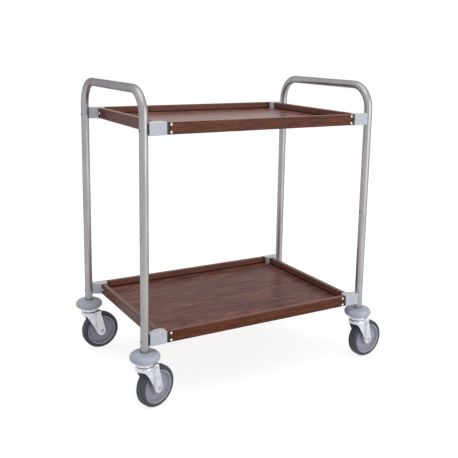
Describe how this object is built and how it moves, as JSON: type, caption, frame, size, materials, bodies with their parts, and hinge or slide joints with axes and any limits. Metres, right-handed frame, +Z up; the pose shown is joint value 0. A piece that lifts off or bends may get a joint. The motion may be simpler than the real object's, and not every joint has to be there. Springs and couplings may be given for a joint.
{
  "type": "serving cart",
  "caption": "Rolling serving cart with upper and lower rimmed wooden trays held between two bent steel tube hoops on swivel casters with round wall bumpers.",
  "frame": {"origin": "on the floor, midway between the four posts", "axes": "+X along the cart's length to the right, +Y from its front to its back, +Z up"},
  "size_m": [0.9147, 0.568, 0.925],
  "materials": {
    "steel_tube": "satin stainless tube",
    "rim_wood": "stained and satin lacquered",
    "panel_wood": "stained veneer, satin lacquered",
    "bracket_plastic": "moulded, fine satin",
    "bright_screw": "bright dome head",
    "bumper_rubber": "grey, matt",
    "plug_plastic": "moulded",
    "zinc": "zinc plated",
    "wheel_plastic": "moulded, satin",
    "tyre_rubber": "grey rubber"
  },
  "bodies": {
    "cart": {"left_hoop": "steel_tube", "right_hoop": "steel_tube", "upper_front_rim": "rim_wood", "upper_back_rim": "rim_wood", "upper_left_rim": "rim_wood", "upper_right_rim": "rim_wood", "upper_panel": "panel_wood", "upper_front_left_bracket": "bracket_plastic", "upper_front_right_bracket": "bracket_plastic", "upper_back_left_bracket": "bracket_plastic", "upper_back_right_bracket": "bracket_plastic", "upper_rim_screws": "bright_screw", "upper_post_screws": "bright_screw", "lower_front_rim": "rim_wood", "lower_back_rim": "rim_wood", "lower_left_rim": "rim_wood", "lower_right_rim": "rim_wood", "lower_panel": "panel_wood", "lower_front_left_bracket": "bracket_plastic", "lower_front_right_bracket": "bracket_plastic", "lower_back_left_bracket": "bracket_plastic", "lower_back_right_bracket": "bracket_plastic", "lower_rim_screws": "bright_screw", "lower_post_screws": "bright_screw", "front_left_bumper": "bumper_rubber", "front_right_bumper": "bumper_rubber", "back_left_bumper": "bumper_rubber", "back_right_bumper": "bumper_rubber", "tube_plugs": "plug_plastic", "king_bolts": "zinc", "front_left_caster_head": "zinc", "front_left_swivel_ring": "plug_plastic", "front_right_caster_head": "zinc", "front_right_swivel_ring": "plug_plastic", "back_left_caster_head": "zinc", "back_left_swivel_ring": "plug_plastic", "back_right_caster_head": "zinc", "back_right_swivel_ring": "plug_plastic"},
    "front_left_swivel_body": {"front_left_fork": "zinc", "front_left_axle_bolt": "zinc", "front_left_axle_sleeve": "zinc"},
    "front_left_wheel_body": {"front_left_wheel_core": "wheel_plastic", "front_left_tyre": "tyre_rubber"},
    "front_right_swivel_body": {"front_right_fork": "zinc", "front_right_axle_bolt": "zinc", "front_right_axle_sleeve": "zinc"},
    "front_right_wheel_body": {"front_right_wheel_core": "wheel_plastic", "front_right_tyre": "tyre_rubber"},
    "back_left_swivel_body": {"back_left_fork": "zinc", "back_left_axle_bolt": "zinc", "back_left_axle_sleeve": "zinc"},
    "back_left_wheel_body": {"back_left_wheel_core": "wheel_plastic", "back_left_tyre": "tyre_rubber"},
    "back_right_swivel_body": {"back_right_fork": "zinc", "back_right_axle_bolt": "zinc", "back_right_axle_sleeve": "zinc"},
    "back_right_wheel_body": {"back_right_wheel_core": "wheel_plastic", "back_right_tyre": "tyre_rubber"}
  },
  "joints": [
    {"name": "front_left_swivel", "type": "hinge", "parent": "cart", "child": "front_left_swivel_body", "pos_m": [-0.385, -0.24, 0.1377], "axis": [0, 0, 1], "continuous": true},
    {"name": "front_left_roll", "type": "hinge", "parent": "front_left_swivel_body", "child": "front_left_wheel_body", "pos_m": [-0.34876, -0.22857, 0.0625], "axis": [-0.3007, 0.9537, 0], "continuous": true},
    {"name": "front_right_swivel", "type": "hinge", "parent": "cart", "child": "front_right_swivel_body", "pos_m": [0.385, -0.24, 0.1377], "axis": [0, 0, 1], "continuous": true},
    {"name": "front_right_roll", "type": "hinge", "parent": "front_right_swivel_body", "child": "front_right_wheel_body", "pos_m": [0.42291, -0.23735, 0.0625], "axis": [-0.0698, 0.9976, 0], "continuous": true},
    {"name": "back_left_swivel", "type": "hinge", "parent": "cart", "child": "back_left_swivel_body", "pos_m": [-0.385, 0.24, 0.1377], "axis": [0, 0, 1], "continuous": true},
    {"name": "back_left_roll", "type": "hinge", "parent": "back_left_swivel_body", "child": "back_left_wheel_body", "pos_m": [-0.34705, 0.24199, 0.0625], "axis": [-0.0523, 0.9986, 0], "continuous": true},
    {"name": "back_right_swivel", "type": "hinge", "parent": "cart", "child": "back_right_swivel_body", "pos_m": [0.385, 0.24, 0.1377], "axis": [0, 0, 1], "continuous": true},
    {"name": "back_right_roll", "type": "hinge", "parent": "back_right_swivel_body", "child": "back_right_wheel_body", "pos_m": [0.42217, 0.2479, 0.0625], "axis": [-0.2079, 0.9781, 0], "continuous": true}
  ]
}
